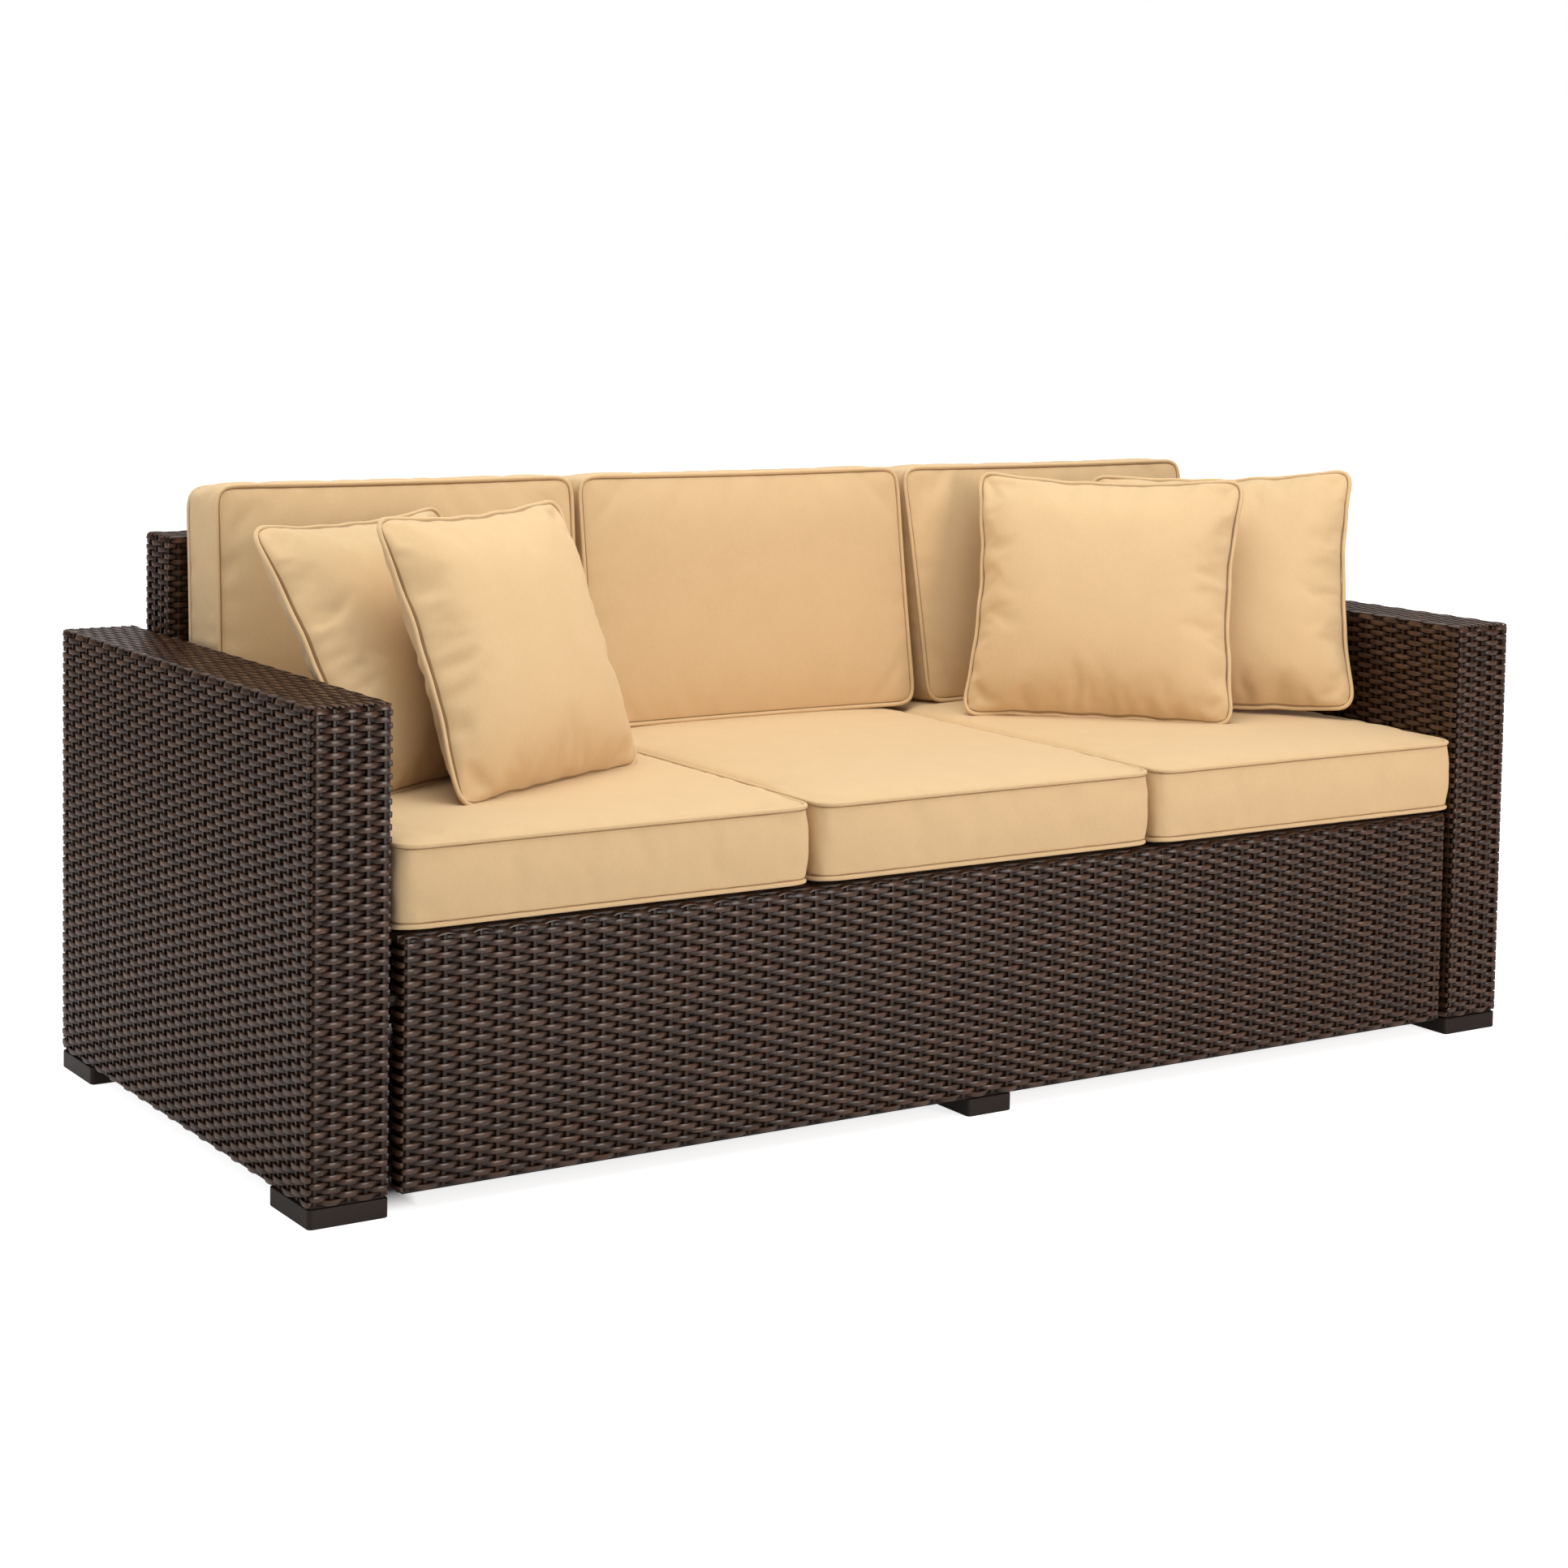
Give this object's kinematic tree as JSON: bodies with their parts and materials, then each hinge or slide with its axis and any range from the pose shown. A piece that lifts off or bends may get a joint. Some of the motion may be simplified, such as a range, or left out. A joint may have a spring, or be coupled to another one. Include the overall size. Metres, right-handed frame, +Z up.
{
  "type": "garden sofa",
  "caption": "Woven resin wicker garden sofa with box arms on a tube frame, loose seat and back cushions and throw pillows.",
  "frame": {"origin": "on the floor, under the middle of the overall box", "axes": "+X along the length towards the viewer's right, -Y towards the sitter's front, +Z up"},
  "size_m": [1.902, 0.83, 0.8052],
  "materials": {
    "wicker": "flat resin strands, dark brown with faint lengthwise streaks, satin",
    "frame": "dark brown powder coat",
    "foot": "dark brown moulded plastic, satin",
    "bolt": "zinc plated",
    "cushion_fabric": "tan plain-weave outdoor polyester with self welt",
    "pillow_fabric": "tan plain-weave outdoor polyester with self welt"
  },
  "bodies": {
    "root": {"arm_left_wicker_outer": "wicker", "arm_left_wicker_inner": "wicker", "arm_left_wicker_front": "wicker", "arm_left_wicker_rear": "wicker", "arm_left_wicker_top": "wicker", "arm_left_frame_front": "frame", "arm_left_frame_rear": "frame", "arm_left_frame_top": "frame", "arm_left_frame_bottom": "frame", "back_post_left": "frame", "apron_post_left": "frame", "seat_side_rail_left": "frame", "seat_bearer_left": "frame", "foot_left_front": "foot", "foot_left_rear": "foot", "bolt_arm_left_front": "bolt", "bolt_arm_left_rear": "bolt", "bolt_seat_left": "bolt", "arm_right_wicker_outer": "wicker", "arm_right_wicker_inner": "wicker", "arm_right_wicker_front": "wicker", "arm_right_wicker_rear": "wicker", "arm_right_wicker_top": "wicker", "arm_right_frame_front": "frame", "arm_right_frame_rear": "frame", "arm_right_frame_top": "frame", "arm_right_frame_bottom": "frame", "back_post_right": "frame", "apron_post_right": "frame", "seat_side_rail_right": "frame", "seat_bearer_right": "frame", "foot_right_front": "foot", "foot_right_rear": "foot", "bolt_arm_right_front": "bolt", "bolt_arm_right_rear": "bolt", "bolt_seat_right": "bolt", "back_wicker_front": "wicker", "back_wicker_top": "wicker", "back_wicker_rear": "wicker", "apron_wicker": "wicker", "seat_deck_weave": "wicker", "back_top_rails": "frame", "back_bottom_rail": "frame", "back_post_middle": "frame", "seat_front_rail": "frame", "seat_rear_rail": "frame", "apron_bottom_rail": "frame", "apron_post_middle": "frame", "foot_middle_front": "foot", "foot_middle_rear": "foot", "seat_cushion_left": "cushion_fabric", "back_cushion_left": "cushion_fabric", "seat_cushion_middle": "cushion_fabric", "back_cushion_middle": "cushion_fabric", "seat_cushion_right": "cushion_fabric", "back_cushion_right": "cushion_fabric", "throw_pillow_left_front": "pillow_fabric", "throw_pillow_left_rear": "pillow_fabric", "throw_pillow_right_front": "pillow_fabric", "throw_pillow_right_rear": "pillow_fabric"}
  },
  "joints": []
}
